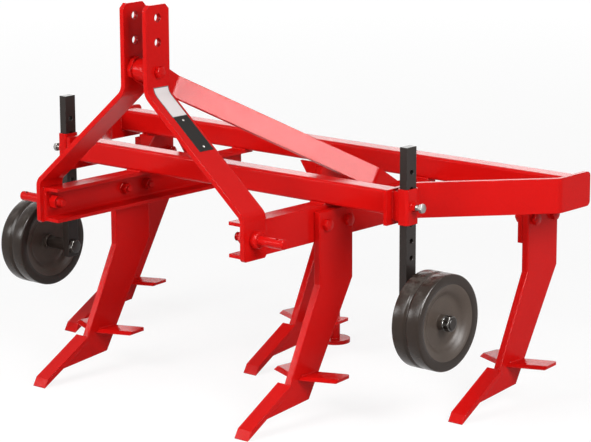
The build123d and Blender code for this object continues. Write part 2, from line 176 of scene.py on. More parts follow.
def worked_material(name, colour, worn, roughness, metallic=0.0, ior=1.5, drift=0.1, grain=0.1,
                    dust=0.0, wear=0.0, peel=400.0, peel_depth=0.02, radius=0.0012):
    """A Principled material fed by the skin and edge groups."""
    made = bpy.data.materials.new(name)
    made.use_nodes = True
    tree = made.node_tree
    tree.nodes.clear()
    g = Graph(tree)
    skin = g.add("ShaderNodeGroup", node_tree=bpy.data.node_groups["Sprayed Skin"])
    edges = g.add("ShaderNodeGroup", node_tree=bpy.data.node_groups["Worked Edges"])
    for group, values in (
            (skin, {"Colour": (*colour, 1), "Drift": drift, "Grain": grain, "Dust": dust,
                    "Peel Scale": peel}),
            (edges, {"Radius": radius, "Wear": wear})):
        for label, value in values.items():
            group.inputs[label].default_value = value
    bump = g.add("ShaderNodeBump", {
        "Height": skin.outputs["Height"], "Normal": edges.outputs["Normal"],
        "Strength": peel_depth, "Distance": PEEL_HEIGHT})
    rubbed = edges.outputs["Mask"]
    dull = g.math("MULTIPLY_ADD", skin.outputs["Mask"], DUST_DULLS, roughness)
    painted = wear > 0 and metallic == 0
    shader = g.add("ShaderNodeBsdfPrincipled", {
        "Base Color": g.mix_colours(rubbed, skin.outputs["Colour"], (*worn, 1)),
        "Roughness": g.mix_values(rubbed, dull, WORN_ROUGHNESS),
        "Metallic": rubbed if painted else metallic,
        "Normal": bump.outputs[0], "IOR": ior})
    g.add("ShaderNodeOutputMaterial", {"Surface": shader.outputs[0]})
    return made


def make_materials(look):
    """All finishes of the machine, from the colours in the panel."""
    group_skin()
    group_edges()
    return {
        "red": worked_material(
            "Signal Red Paint", look.red, (0.75, 0.1, 0.08), 0.18, ior=1.15,
            drift=0.2, grain=0.4, peel=520.0, peel_depth=0.4, radius=0.0024),
        "black": worked_material(
            "Satin Black Paint", look.black, WORN_BLACK, 0.3, ior=1.31, drift=0.4, grain=0.4,
            dust=0.1, wear=0.15, peel=180.0, peel_depth=0.12, radius=0.0018),
        "wheel": worked_material(
            "Dusty Black Paint", look.wheel, WORN_BLACK, 0.38, ior=1.2, drift=0.9, grain=0.6,
            dust=0.1, wear=0.2, peel=260.0, peel_depth=0.3, radius=0.0018),
        "tread": worked_material(
            "Glossy Black Paint", look.tread, WORN_BLACK, 0.24, ior=1.28, drift=0.6, grain=0.5,
            dust=0.2, wear=0.35, peel=200.0, peel_depth=0.3, radius=0.0018),
        "zinc": worked_material(
            "Zinc Plate", (0.26, 0.25, 0.24), (0.8, 0.8, 0.8), 0.3, metallic=1.0,
            drift=0.25, peel=900.0, peel_depth=0.1, radius=0.0006),
        "rubbed": worked_material(
            "Rubbed Black Steel", (0.022, 0.018, 0.015), (0.5, 0.48, 0.45), 0.35, ior=1.4,
            wear=2.0, peel=300.0, peel_depth=0.1, radius=0.0018),
        "label": worked_material(
            "White Label Film", (0.60, 0.56, 0.56), (0.6, 0.6, 0.6), 0.4, ior=1.25,
            drift=0.04, peel=900.0, radius=0.0003),
        "label_edge": worked_material(
            "Dark Label Edge", (0.03, 0.03, 0.03), (0.2, 0.2, 0.2), 0.4, radius=0.0003),
        "plate": worked_material(
            "Black Anodised Plate", (0.013, 0.011, 0.010), (0.5, 0.5, 0.5), 0.4, ior=1.2,
            drift=0.3, wear=0.3, peel=1200.0, peel_depth=0.08, radius=0.0004),
    }


FINISH = {}


# Helpers for meshes

def along_x(x, y, z):
    """Places a part made round Z at (x, y, z), with its axis along +X."""
    return Matrix.Translation((x, y, z)) @ Matrix.Rotation(math.radians(90), 4, "Y")


def outward(side, x, y, z):
    """Places a part made round Z so that its axis goes away from the middle of the machine."""
    turn = Matrix.Rotation(math.radians(90 * side), 4, "Y")
    return Matrix.Translation((x * side, y, z)) @ turn


def corners(node):
    """(low, high) of a CAD node."""
    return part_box(node)


def middle_yz(low, high):
    """The axis of a part that lies across the machine."""
    return (low.y + high.y) / 2, (low.z + high.z) / 2


def reach_x(low, high):
    """How near the middle of the machine a box comes, and how far out it reaches."""
    return sorted((abs(low.x), abs(high.x)))


def piece(name, bm, body, finish, replaces=(), smooth=32.0):
    """Turns a bmesh into a finished piece that rides on a body."""
    bmesh.ops.remove_doubles(bm, verts=bm.verts, dist=SAME_POINT)
    bmesh.ops.recalc_face_normals(bm, faces=bm.faces)
    mesh = bpy.data.meshes.new(name)
    bm.to_mesh(mesh)
    bm.free()
    mesh.shade_smooth()
    mesh.set_sharp_from_angle(angle=math.radians(smooth))
    mesh.materials.append(FINISH[finish])
    made = bpy.data.objects.new(name, mesh)
    bpy.context.scene.collection.objects.link(made)
    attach(made, body)
    if replaces:
        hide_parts(*replaces)
    return made


def merge(target, part, matrix):
    """Moves a small bmesh to its place and adds it to a bigger one."""
    bmesh.ops.transform(part, matrix=matrix, verts=part.verts)
    mesh = bpy.data.meshes.new("part")
    part.to_mesh(mesh)
    part.free()
    target.from_mesh(mesh)
    bpy.data.meshes.remove(mesh)


def extrude(bm, edges):
    """Extrudes edges and gives the new points and edges, still in the old place."""
    grown = bmesh.ops.extrude_edge_only(bm, edges=edges)["geom"]
    return ([e for e in grown if isinstance(e, bmesh.types.BMVert)],
            [e for e in grown if isinstance(e, bmesh.types.BMEdge)])


def turned(section, steps=48, close=False):
    """A turned part round Z from a section of (radius, height) points."""
    bm = bmesh.new()
    verts = [bm.verts.new((r, 0, z)) for r, z in section]
    pairs = list(zip(verts, verts[1:]))
    if close:
        pairs.append((verts[-1], verts[0]))
    edges = [bm.edges.new(p) for p in pairs]
    bmesh.ops.spin(bm, geom=verts + edges, cent=(0, 0, 0), axis=(0, 0, 1), dvec=(0, 0, 0),
                   angle=math.tau, steps=steps, use_merge=True, use_normal_flip=False,
                   use_duplicate=False)
    bmesh.ops.remove_doubles(bm, verts=bm.verts, dist=SAME_POINT)
    bmesh.ops.recalc_face_normals(bm, faces=bm.faces)
    return bm


def rod(radius, start, end, steps=48):
    """A plain round rod along Z."""
    return turned([(0.0, start), (radius, start), (radius, end), (0.0, end)], steps)


def round_rings(bm, test, radius, segments=3):
    """Rounds the edges that run round the Z axis and pass the test (radius, height)."""
    rings = []
    for e in bm.edges:
        a, b = (v.co for v in e.verts)
        ra, rb = a.xy.length, b.xy.length
        level = abs(a.z - b.z) < SAME_POINT
        if level and abs(ra - rb) < SAME_POINT and ra > SAME_POINT and test(ra, a.z):
            rings.append(e)
    bmesh.ops.bevel(bm, geom=rings, offset=radius, offset_type="OFFSET", segments=segments,
                    profile=0.5, affect="EDGES", material=-1, clamp_overlap=True)
    bmesh.ops.remove_doubles(bm, verts=bm.verts, dist=SAME_POINT)


def cut(bm, cutter_bm):
    """A closed shape with another one cut out of it; both given shapes are used up."""
    pair = []
    for shape in (bm, cutter_bm):
        mesh = bpy.data.meshes.new("cut")
        shape.to_mesh(mesh)
        shape.free()
        made = bpy.data.objects.new("cut", mesh)
        bpy.context.scene.collection.objects.link(made)
        pair.append(made)
    modifier = pair[0].modifiers.new("Cut", "BOOLEAN")
    modifier.operation = "DIFFERENCE"
    modifier.solver = "EXACT"
    modifier.object = pair[1]
    bpy.context.view_layer.update()
    mesh = bpy.data.meshes.new_from_object(
        pair[0].evaluated_get(bpy.context.evaluated_depsgraph_get()))
    result = bmesh.new()
    result.from_mesh(mesh)
    bpy.data.meshes.remove(mesh)
    for made in pair:
        mesh = made.data
        bpy.data.objects.remove(made)
        bpy.data.meshes.remove(mesh)
    return result


# Small parts that are used more than once

HEX_FLAT = 0.86          # the flat circle on a hexagon's end, as a share of its corner radius
HEX_SLOPE = math.tan(math.radians(30))
HEX_CUTS = 5
SINK_SHARE = 0.15        # how far a nut's thread hole sinks, as a share of its radius


def hexagon(radius, height, bore=0.0, crown_base=False):
    """A hexagon head or nut round Z with turned-off corners; a bore is a closed countersink."""
    bm = bmesh.new()
    bmesh.ops.create_circle(bm, cap_ends=False, segments=6, radius=radius)
    bmesh.ops.subdivide_edges(bm, edges=bm.edges, cuts=HEX_CUTS, use_grid_fill=False)
    flat = radius * HEX_FLAT
    base, rim = list(bm.verts), list(bm.edges)
    top, top_rim = extrude(bm, rim)
    bmesh.ops.translate(bm, vec=(0, 0, height), verts=top)
    for verts, edges, direction, z in ((top, top_rim, 1, height), (base, rim, -1, 0.0)):
        if direction < 0 and not crown_base:
            bmesh.ops.contextual_create(bm, geom=edges)
            continue
        for v in verts:
            v.co.z -= direction * max(0.0, v.co.xy.length - flat) * HEX_SLOPE
        inner, inner_edges = extrude(bm, edges)
        for v in inner:
            v.co = v.co.xy.normalized().to_3d() * flat
            v.co.z = z
        if bore > 0:
            sunk, inner_edges = extrude(bm, inner_edges)
            for v in sunk:
                v.co = v.co.xy.normalized().to_3d() * bore
                v.co.z = z - direction * bore * SINK_SHARE
        bmesh.ops.contextual_create(bm, geom=inner_edges)
    bmesh.ops.recalc_face_normals(bm, faces=bm.faces)
    return bm


def threaded_end(radius, length, pitch=0.002, steps=20):
    """A stud end round Z with thread ridges and a chamfered tip."""
    root = radius - 0.6 * pitch
    section = [(0.0, 0.0), (root, 0.0)]
    z = 0.0
    while z + pitch < length - pitch:
        section += [(radius, z + 0.35 * pitch), (radius, z + 0.6 * pitch), (root, z + pitch)]
        z += pitch
    section += [(radius, z + 0.4 * pitch), (radius, length - pitch),
                (radius - pitch, length), (0.0, length)]
    return turned(section, steps)


def washer(radius, bore, thick):
    """A flat ring round Z with broken outer edges."""
    edge = thick * 0.25
    return turned([(bore, 0), (radius - edge, 0), (radius, edge), (radius, thick - edge),
                   (radius - edge, thick), (bore, thick)], 32, close=True)


# What a user may change

class SubsoilerFinish(bpy.types.PropertyGroup):
    red: bpy.props.FloatVectorProperty(
        name="Frame paint", description="Colour of the gloss paint on frame, mast and shanks",
        subtype="COLOR", size=3, min=0.0, max=1.0, default=(0.50, 0.0045, 0.0038))
    black: bpy.props.FloatVectorProperty(
        name="Post paint", description="Colour of the satin paint on the wheel posts",
        subtype="COLOR", size=3, min=0.0, max=1.0, default=(0.016, 0.011, 0.009))
    wheel: bpy.props.FloatVectorProperty(
        name="Wheel paint", description="Colour of the dusty paint on the depth wheels",
        subtype="COLOR", size=3, min=0.0, max=1.0, default=(0.078, 0.060, 0.049))
    tread: bpy.props.FloatVectorProperty(
        name="Tread paint", description="Colour of the glossy paint on the wheels' treads",
        subtype="COLOR", size=3, min=0.0, max=1.0, default=(0.023, 0.015, 0.011))


class SubsoilerDetail(bpy.types.PropertyGroup):
    bead: bpy.props.FloatProperty(
        name="Weld bead", description="Radius of the weld beads", subtype="DISTANCE",
        default=0.0032, min=0.0005, max=0.01)
    bolt_radius: bpy.props.FloatProperty(
        name="Shank bolt", description="Radius of the bolts that hold the shanks",
        subtype="DISTANCE", default=0.008, min=0.003, max=0.02)
    label_width: bpy.props.FloatProperty(
        name="Plate width", description="Width of the blank label and type plate",
        subtype="DISTANCE", default=0.044, min=0.01, max=0.07)


class SubsoilerStudio(bpy.types.PropertyGroup):
    floor: bpy.props.FloatVectorProperty(
        name="Floor", description="Colour of the floor as it lights the object from below",
        subtype="COLOR", size=3, min=0.0, max=1.0, default=(0.68, 0.68, 0.68))
    shadow: bpy.props.FloatProperty(
        name="Shadow", description="How dark the object's shadow shows on the white floor",
        default=0.15, min=0.0, max=1.0)
    sky: bpy.props.FloatProperty(
        name="Surrounding light", description="Strength of the light from all round",
        default=0.3, min=0.0, max=2.0)
    key: bpy.props.FloatProperty(
        name="Key light", description="Power of the light above the front", subtype="POWER",
        default=158.0, min=0.0, max=2000.0)
    fill: bpy.props.FloatProperty(
        name="Fill light", description="Power of the light beside the right wheel",
        subtype="POWER", default=84.0, min=0.0, max=2000.0)
    edge: bpy.props.FloatProperty(
        name="Edge sheen", description="Brightness of the small lamp that shows in rounded edges",
        default=220.0, min=0.0, max=2000.0)
    front: bpy.props.FloatProperty(
        name="Front sheen", description="Brightness of the panel that shows in the wheels' treads",
        default=18.0, min=0.0, max=100.0)
    left: bpy.props.FloatProperty(
        name="Left sheen", description="Brightness of the panel that shows in edges turned left",
        default=6.0, min=0.0, max=100.0)
    side: bpy.props.FloatProperty(
        name="Side sheen", description="Brightness of the panel that shows in faces turned right",
        default=54.0, min=0.0, max=200.0)
    rear: bpy.props.FloatProperty(
        name="Rear sheen", description="Brightness of the panel that shows in the tops of beams",
        default=2.5, min=0.0, max=100.0)
    lens: bpy.props.FloatProperty(
        name="Lens", description="Focal length for a sensor 36 mm wide",
        subtype="DISTANCE_CAMERA", default=148.73, min=10.0, max=500.0)


# Paint and fasteners

class SUBSOILER_OT_paint(bpy.types.Operator):
    """Gives every CAD piece its paint or plating"""
    bl_idname = "subsoiler.paint"
    bl_label = "Paint Frame, Posts And Wheels"

    def execute(self, context):
        FINISH.update(make_materials(context.scene.subsoiler_finish))
        for name, node in NODES.items():
            finish = "red"
            if name.startswith("wheel"):
                finish = "black" if name.startswith("wheel_post") else "wheel"
            elif name.startswith("clamp"):
                finish = "zinc"
            node.data.materials.clear()
            node.data.materials.append(FINISH[finish])
        return {"FINISHED"}


HEX_TO_BOLT = 1.73       # a hexagon's corner radius for a bolt radius of 1
HEAD_THICK = 0.010
NUT_THICK = 0.013
STUD_LENGTH = 0.006      # what stands out of the nut
WASHER_THICK = 0.0025
BOLTS_FROM_REAR = (0.090, 0.016)
# shank, side of the heads, thickness clamped beside the shank, bolts below the shank's top
SHANK_BOLTS = (
    ("front_left", -1, 0.006, 0.031), ("front_right", 1, 0.006, 0.031),
    ("rear_left", -1, 0.012, 0.0455), ("rear_middle", 1, 0.012, 0.0455),
    ("rear_right", 1, 0.012, 0.0455),
)
MAST_HALF = 0.041        # from the middle of the mast to its legs' outer faces
MAST_BOLT_RADIUS = 0.008
MAST_NUT_THICK = 0.0105
CLAMP_RADIUS = 0.006
CLAMP_PITCH = 0.00175
CLAMP_HEX = 0.011
CLAMP_HEAD_THICK = 0.008
CLAMP_FACE = 0.0088      # radius of the turned face under the head


def bolt_set(bm, side, x_head, x_nut, y, z, radius, nut_thick):
    """A bolt across X: head on the outer face, washer, nut and stud end on the inner one."""
    wide = radius * HEX_TO_BOLT
    merge(bm, hexagon(wide, HEAD_THICK), outward(side, x_head, y, z))
    inner = outward(-side, -x_nut, y, z)
    on_washer = inner @ Matrix.Translation((0, 0, WASHER_THICK))
    merge(bm, washer(wide * 1.06, radius * 0.7, WASHER_THICK), inner)
    merge(bm, hexagon(wide, nut_thick, bore=radius), on_washer)
    merge(bm, threaded_end(radius, nut_thick + STUD_LENGTH), on_washer)


def tapped_bolt(bm, side, x_head, x_end, y, z, radius, depth):
    """A bolt across X, screwed into the last plate and flush with it, without a nut."""
    merge(bm, hexagon(radius * HEX_TO_BOLT, HEAD_THICK), outward(side, x_head, y, z))
    merge(bm, threaded_end(radius, depth),
          outward(-side, -x_end, y, z) @ Matrix.Translation((0, 0, -depth)))


def shank_bolts(radius):
    """The two bolts of each shank."""
    bolts = bmesh.new()
    for name, side, grip, drop in SHANK_BOLTS:
        low, high = corners(f"shank_{name}")
        head = high.x if side > 0 else -low.x
        nut = head - (high.x - low.x) - grip
        for back in BOLTS_FROM_REAR:
            y, z = high.y - back, high.z - drop
            # the stand's sleeve is where the middle shank's rear nut would be
            blocked = y + radius * HEX_TO_BOLT > corners("stand_sleeve")[0].y
            if name == "rear_middle" and blocked:
                tapped_bolt(bolts, side, head, nut, y, z, radius, grip)
            else:
                bolt_set(bolts, side, head, nut, y, z, radius, NUT_THICK)
    return bolts


def mast_bolt():
    """The bolt through the mast's legs and spacer."""
    y, z = middle_yz(*corners("mast_bolt"))
    bolt = bmesh.new()
    bolt_set(bolt, 1, MAST_HALF, -MAST_HALF, y, z, MAST_BOLT_RADIUS, MAST_NUT_THICK)
    merge(bolt, rod(MAST_BOLT_RADIUS, -MAST_HALF, MAST_HALF, 24), along_x(0, y, z))
    return bolt


def clamp_screw(word, side):
    """The screw that holds a wheel post in its sleeve."""
    low, high = corners(f"clamp_bolt_{word}")
    y, z = middle_yz(low, high)
    tip, end = reach_x(low, high)
    under_head = outward(side, end - CLAMP_HEAD_THICK, y, z)
    screw = bmesh.new()
    merge(screw, threaded_end(CLAMP_RADIUS, end - tip - CLAMP_HEAD_THICK, CLAMP_PITCH),
          under_head @ Matrix.Rotation(math.pi, 4, "X"))
    merge(screw, hexagon(CLAMP_HEX, CLAMP_HEAD_THICK), under_head)
    merge(screw, rod(CLAMP_FACE, -0.0006, 0.0003, 32), under_head)
    return screw


class SUBSOILER_OT_fasteners(bpy.types.Operator):
    """Adds the bolts of the shanks and of the mast, and the clamp screws of the wheel posts"""
    bl_idname = "subsoiler.fasteners"
    bl_label = "Add Fasteners"

    def execute(self, context):
        radius = context.scene.subsoiler_detail.bolt_radius
        piece("shank_bolts", shank_bolts(radius), "frame", "red")
        piece("mast_bolt_detail", mast_bolt(), "frame", "red", ["mast_bolt"])
        for word, side in LEFT_RIGHT:
            piece(f"clamp_screw_{word}", clamp_screw(word, side), "frame", "zinc",
                  [f"clamp_bolt_{word}"])
        return {"FINISHED"}


# Lower hitch pins

PIN_RADIUS = 0.011
PIN_ROOT_RADIUS = 0.010   # through the mast's foot and in the nut
PIN_CHAMFER = 0.002
COLLAR_RADIUS = 0.019
COLLAR_WIDTH = 0.0155
COLLAR_ROUNDING = 0.004
PIN_NUT_FROM_END = 0.016
PIN_NUT_RADIUS = 0.017
PIN_NUT_THICK = 0.020
PIN_NUT_TURN = math.radians(12)
PIN_PITCH = 0.0025
LINCH_RADIUS = 0.0055
LINCH_FROM_TIP = 0.018
LINCH_CUT = 0.03          # half the length of the shape that cuts the hole


class SUBSOILER_OT_hitch_pins(bpy.types.Operator):
    """Makes the lower hitch pins with collar, nut, threaded stud and the hole for a linch pin"""
    bl_idname = "subsoiler.hitch_pins"
    bl_label = "Add Hitch Pins"

    def execute(self, context):
        for word, side in LEFT_RIGHT:
            low, high = corners(f"hitch_pin_{word}")
            y, z = middle_yz(low, high)
            stud, tip = reach_x(low, high)
            foot = reach_x(*corners(f"mast_leg_{word}"))[1]
            shoulder = foot + COLLAR_WIDTH
            nut = stud + PIN_NUT_FROM_END
            pin = turned([
                (0.0, nut), (PIN_ROOT_RADIUS, nut), (PIN_ROOT_RADIUS, foot),
                (COLLAR_RADIUS, foot), (COLLAR_RADIUS, shoulder), (PIN_RADIUS, shoulder),
                (PIN_RADIUS, tip - PIN_CHAMFER), (PIN_RADIUS - PIN_CHAMFER, tip), (0.0, tip)])
            round_rings(pin, lambda r, h: r > COLLAR_RADIUS - 0.001 and h > foot + 0.001,
                        COLLAR_ROUNDING)
            hole = rod(LINCH_RADIUS, -LINCH_CUT, LINCH_CUT, 32)
            bmesh.ops.transform(hole, matrix=along_x(0, 0, tip - LINCH_FROM_TIP),
                                verts=hole.verts)
            pin = cut(pin, hole)
            # the stud starts a little inside the pin
            inside = nut + 0.002
            merge(pin, threaded_end(PIN_ROOT_RADIUS, inside - stud, PIN_PITCH, 28),
                  Matrix.Translation((0, 0, inside)) @ Matrix.Rotation(math.pi, 4, "X"))
            merge(pin, hexagon(PIN_NUT_RADIUS, PIN_NUT_THICK, bore=PIN_ROOT_RADIUS,
                               crown_base=True),
                  Matrix.Translation((0, 0, nut)) @ Matrix.Rotation(PIN_NUT_TURN, 4, "Z"))
            bmesh.ops.transform(pin, matrix=outward(side, 0, y, z), verts=pin.verts)
            piece(f"hitch_pin_detail_{word}", pin, "frame", "red",
                  [f"hitch_pin_{word}"])
        return {"FINISHED"}


# Depth wheels and their axles

SEAM_HALF, SEAM_DEPTH, SEAM_ROUNDING = 0.006, 0.004, 0.0012
TREAD_ROUNDING = 0.004
TREAD_FROM = 0.087        # faces further out than this have the tread's paint
# radii and depths of the dish in a wheel's face: its rim, slope and floor, the hub and its bore
RIM_RADIUS, SLOPE_RADIUS, FLOOR_RADIUS = 0.088, 0.070, 0.058
HUB_RADIUS, BORE_RADIUS = 0.018, 0.0125
SLOPE_DEPTH, FLOOR_DEPTH, HUB_DEPTH = 0.008, 0.020, 0.008
DISH_ROUNDINGS = ((RIM_RADIUS, 0.007), (SLOPE_RADIUS, 0.006), (FLOOR_RADIUS, 0.007))


def wheel_shape(radius, half):
    """A wheel round Z, with a seam round its tread and a dish in each face."""
    face = [(radius, SEAM_HALF), (radius, half), (RIM_RADIUS, half),
            (SLOPE_RADIUS, half - SLOPE_DEPTH), (FLOOR_RADIUS, half - FLOOR_DEPTH),
            (HUB_RADIUS, half - FLOOR_DEPTH), (HUB_RADIUS, half - HUB_DEPTH),
            (BORE_RADIUS, half - HUB_DEPTH)]
    section = [(radius - SEAM_DEPTH, 0.0)] + face + [(r, -h) for r, h in reversed(face)]
    wheel = turned(section, 96, close=True)
    round_rings(wheel, lambda r, h: r > radius - 0.0005 and abs(h) > half - 0.001,
                TREAD_ROUNDING, 4)
    for ring, rounding in DISH_ROUNDINGS:
        round_rings(wheel, lambda r, h: abs(r - ring) < 0.0005, rounding, 5)
    round_rings(wheel, lambda r, h: abs(h) < 0.007 and r > radius - SEAM_DEPTH - 0.0005,
                SEAM_ROUNDING, 2)
    return wheel


class SUBSOILER_OT_wheels(bpy.types.Operator):
    """Makes the depth wheels as turned bodies with rounded treads and a seam round the middle"""
    bl_idname = "subsoiler.wheels"
    bl_label = "Add Depth Wheels"

    def execute(self, context):
        for word, _ in LEFT_RIGHT:
            low, high = corners(f"wheel_{word}")
            wheel = wheel_shape((high.z - low.z) / 2, (high.x - low.x) / 2)
            centre = (low + high) / 2
            bmesh.ops.transform(wheel, matrix=along_x(*centre), verts=wheel.verts)
            made = piece(f"wheel_body_{word}", wheel, f"wheel_{word}", "wheel",
                         [f"wheel_{word}"], smooth=40)
            made.data.materials.append(FINISH["tread"])
            for face in made.data.polygons:
                if (face.center.yz - centre.yz).length > TREAD_FROM:
                    face.material_index = 1
        return {"FINISHED"}


COVER = 0.0004            # how far the detailed axle ends cover the CAD's
AXLE_NUT_RADIUS, AXLE_NUT_THICK, AXLE_NUT_BORE = 0.018, 0.014, 0.0115
AXLE_NUT_FROM_END = 0.016
STUB_RADIUS, STUB_LENGTH, STUB_PITCH, STUB_FROM_END = 0.0124, 0.0155, 0.0015, 0.015
AXLE_WASHER_BORE, AXLE_WASHER_THICK, AXLE_WASHER_FROM_END = 0.012, 0.003, 0.019
AXLE_HEAD_RADIUS, AXLE_HEAD_THICK = 0.017, 0.009


class SUBSOILER_OT_axles(bpy.types.Operator):
    """Adds rubbed nuts and heads over the ends of the wheel axles"""
    bl_idname = "subsoiler.axles"
    bl_label = "Add Axle Nuts"

    def execute(self, context):
        for word, side in LEFT_RIGHT:
            y, z = middle_yz(*corners(f"wheel_{word}"))
            head_in, end = reach_x(*corners(f"wheel_post_{word}"))
            stub = threaded_end(STUB_RADIUS + COVER, STUB_LENGTH, STUB_PITCH, 28)
            bmesh.ops.transform(stub, matrix=outward(side, end - STUB_FROM_END, y, z),
                                verts=stub.verts)
            piece(f"axle_end_{word}", stub, f"post_{word}", "black")
            axle = bmesh.new()
            merge(axle, hexagon(AXLE_NUT_RADIUS + COVER, AXLE_NUT_THICK + COVER,
                                bore=AXLE_NUT_BORE),
                  outward(side, end - AXLE_NUT_FROM_END, y, z))
            merge(axle, washer(AXLE_NUT_RADIUS + COVER, AXLE_WASHER_BORE,
                               AXLE_WASHER_THICK + COVER),
                  outward(side, end - AXLE_WASHER_FROM_END - COVER / 2, y, z))
            merge(axle, hexagon(AXLE_HEAD_RADIUS + COVER, AXLE_HEAD_THICK + COVER),
                  outward(-side, -(head_in + AXLE_HEAD_THICK), y, z))
            piece(f"axle_nuts_{word}", axle, f"post_{word}", "rubbed")
        return {"FINISHED"}


# Weld beads

RIPPLE_PITCH = 0.0032
RIPPLE_RINGS = 3
BEAD_SIDES = 8
BEAD_TIP = 0.55           # size of a bead's first and last ring
STAY_THICK = 0.012
STAY_WELD = (0.085, 0.004)    # from the rear end of the stay's foot
ROUND_CORNER = 0.004      # what a bead stops short of a rounded corner
BLOCK_FACES = (0.504, 0.521)  # side plate and sleeve, which the block stands between
BLOCK_HALF = 0.014
BLOCK_SHORT = 0.007
SLEEVE_FACE = 0.550       # under the welded nut of the clamp screw
NUT_WELD_RADIUS = 0.0105
WING_WELD = (0.010, 0.062)    # from the wing's front end
POINT_RISE = math.tan(math.radians(29.6))
POINT_BACK = 0.051        # from the point's tip to the shank's toe
POINT_WELD = (0.004, 0.096)   # from the shank's toe
POINT_TOP_WELD = (0.0965, 0.092)
BRACKET_THICK = 0.012
STAND_BAR_HALF = 0.006


def weld_bead(bm, path, radius):
    """A bead of overlapping ripples along a path of points."""
    points = []
    for a, b in zip(path, path[1:]):
        count = max(1, round((b - a).length / RIPPLE_PITCH)) * RIPPLE_RINGS
        points += [a.lerp(b, k / count) for k in range(count)]
    points.append(path[-1])
    edges = last_direction = last_size = None
    for k, point in enumerate(points):
        ahead = points[min(k + 1, len(points) - 1)]
        behind = points[max(k - 1, 0)]
        direction = (ahead - behind).normalized()
        swell = 0.80 + 0.22 * abs(math.sin(math.pi * (k + 0.5) / RIPPLE_RINGS))
        drift = 1.0 + 0.10 * math.sin(k * 0.37) + 0.06 * math.sin(k * 1.1 + 2.0)
        size = radius * swell * drift
        if k in (0, len(points) - 1):
            size *= BEAD_TIP
        if edges is None:
            turn = direction.to_track_quat("Z", "X").to_matrix().to_4x4()
            bmesh.ops.create_circle(
                bm, cap_ends=False, segments=BEAD_SIDES, radius=1.0,
                matrix=Matrix.Translation(point) @ turn @ Matrix.Scale(size, 4))
            edges = list(bm.edges)
            bmesh.ops.contextual_create(bm, geom=edges)
        else:
            ring, edges = extrude(bm, edges)
            swing = last_direction.rotation_difference(direction).to_matrix().to_4x4()
            bmesh.ops.transform(bm, verts=ring, matrix=(
                Matrix.Translation(point) @ swing @ Matrix.Scale(size / last_size, 4)
                @ Matrix.Translation(-points[k - 1])))
        last_direction, last_size = direction, size
    bmesh.ops.contextual_create(bm, geom=edges)


def ring_path(centre, radius, count=24):
    """Points of a circle round an axis along X, for a bead round a nut."""
    axis = Vector((1, 0, 0))
    side = axis.orthogonal().normalized()
    return [centre + Matrix.Rotation(math.tau * k / count, 3, axis) @ side * radius
            for k in range(count + 1)]


def side_beads(word, s):
    """The welds of one side: channel, beams, mast foot, stay, side plate and sleeve."""
    paths = []

    def line(*points):
        paths.append([Vector((s * x, y, z)) for x, y, z in points])

    channel_low, channel_high = corners(f"channel_{word}")
    lip, web = reach_x(channel_low, channel_high)
    top = channel_high.z
    for beam in ("front_beam", "rear_beam"):
        low, high = corners(beam)
        for y in (low.y, high.y):
            line((lip, y, top), (web, y, top))
    for y in (corners(f"mast_leg_{word}")[1].y, channel_low.y):
        line((web, y, top), (web, y, channel_low.z))
    stay_low, stay_high = corners(f"stay_{word}")
    outer = reach_x(stay_low, stay_high)[1]
    for x in (outer - STAY_THICK, outer):
        line(*((x, stay_high.y - back, top) for back in STAY_WELD))
    for beam in ("front_beam", "rear_beam"):
        low, high = corners(beam)
        for y in (low.y, high.y):
            line((high.x, y, low.z), (high.x, y, high.z - ROUND_CORNER))
        line((high.x, low.y, low.z), (high.x, high.y, low.z))
        line((high.x, low.y + ROUND_CORNER, high.z), (high.x, high.y - ROUND_CORNER, high.z))
    sleeve_low, sleeve_high = corners(f"sleeve_{word}")
    mid = (sleeve_low.y + sleeve_high.y) / 2
    for y in (mid - BLOCK_HALF, mid + BLOCK_HALF):
        for x in BLOCK_FACES:
            line((x, y, sleeve_low.z + BLOCK_SHORT), (x, y, sleeve_high.z - BLOCK_SHORT))
    nut_z = middle_yz(*corners(f"clamp_bolt_{word}"))[1]
    paths.append(ring_path(Vector((s * SLEEVE_FACE, mid, nut_z)), NUT_WELD_RADIUS))
    return paths


def shank_beads(name):
    """The welds of one shank: wings, point and, at the rear, its bracket."""
    paths = []

    def line(*points):
        paths.append([Vector(p) for p in points])

    low, high = corners(f"shank_{name}")
    for (word, _), x in zip(LEFT_RIGHT, (low.x, high.x)):
        wing_low, wing_high = corners(f"wing_{name}_{word}")
        for z in (wing_low.z, wing_high.z):
            line(*((x, wing_low.y + back, z) for back in WING_WELD))
    for x in (low.x, high.x):
        line(*((x, low.y + back, (POINT_BACK + back) * POINT_RISE) for back in POINT_WELD))
    back, z = POINT_TOP_WELD
    line((low.x, low.y + back, z), (high.x, low.y + back, z))
    if name.startswith("rear"):
        bracket_low, bracket_high = corners(f"bracket_{name}")
        plate = bracket_low.x if name == "rear_left" else bracket_high.x - BRACKET_THICK
        beam_low, beam_high = corners("rear_beam")
        for x in (plate, plate + BRACKET_THICK):
            line((x, beam_low.y, bracket_high.z), (x, beam_high.y, bracket_high.z))
    return paths


def bead_paths():
    """Every weld on the frame as a path of points, worked out from the boxes of the CAD pieces."""
    paths = []
    for word, side in LEFT_RIGHT:
        paths += side_beads(word, side)
    for name in SHANKS:
        paths += shank_beads(name)
    low, high = corners("stand_sleeve")
    x = high.x - 0.001
    mid = (low.y + high.y) / 2
    for y in (mid - STAND_BAR_HALF, mid + STAND_BAR_HALF):
        paths.append([Vector((x, y, low.z + ROUND_CORNER)), Vector((x, y, high.z - ROUND_CORNER))])
    return paths


